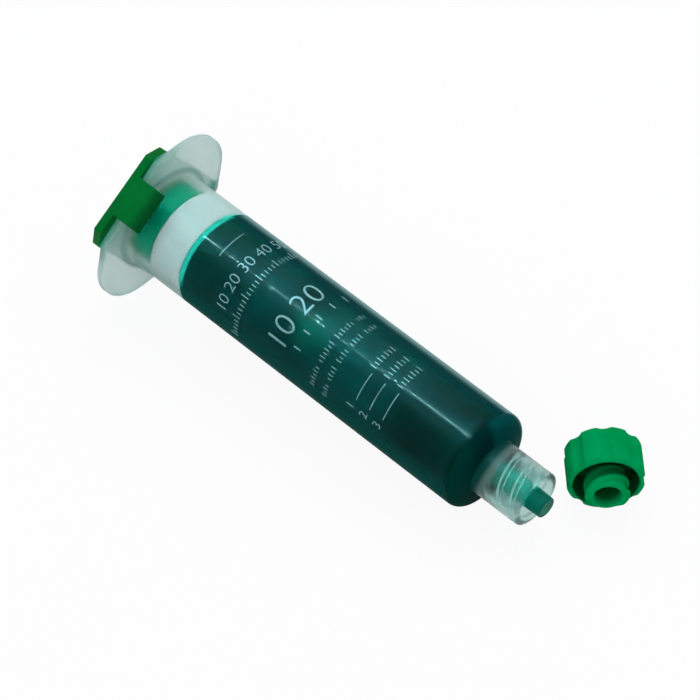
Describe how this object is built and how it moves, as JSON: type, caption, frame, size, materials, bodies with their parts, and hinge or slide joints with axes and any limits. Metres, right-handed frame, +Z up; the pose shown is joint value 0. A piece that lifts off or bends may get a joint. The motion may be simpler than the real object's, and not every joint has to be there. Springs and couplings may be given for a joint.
{
  "type": "uv adhesive syringe",
  "caption": "Filled dispensing syringe lying down: flanged translucent barrel with clip-on end cap, piston, adhesive, locking-collar nozzle and a loose fluted tip cap.",
  "frame": {"origin": "centre of the nozzle's front face, at the tip of the taper that a dispensing needle seats on", "axes": "+X towards the tip along the lying syringe, whose axis dips 3.6 degrees below +X; +Z up from the ground it lies on"},
  "size_m": [0.103, 0.0364, 0.0295],
  "materials": {
    "barrel_plastic": "translucent natural polypropylene",
    "piston_plastic": "milky white polyethylene",
    "end_cap_plastic": "green polyethylene, soft gloss",
    "adhesive_fill": "dark teal liquid resin",
    "tip_cap_plastic": "bright green polyethylene, soft gloss"
  },
  "bodies": {
    "barrel": {"barrel": "barrel_plastic", "adhesive": "adhesive_fill", "tip_cap": "tip_cap_plastic"},
    "piston": {"piston": "piston_plastic"},
    "end_cap": {"end_cap": "end_cap_plastic"}
  },
  "joints": [
    {"name": "piston_slide", "type": "slide", "parent": "barrel", "child": "piston", "axis": [0.998, 0, -0.0624], "range_m": [0, 0.063], "deforming": ["adhesive"]},
    {"name": "end_cap_pull", "type": "slide", "parent": "barrel", "child": "end_cap", "axis": [-0.998, 0, 0.0624], "range_m": [0, 0.02]}
  ]
}
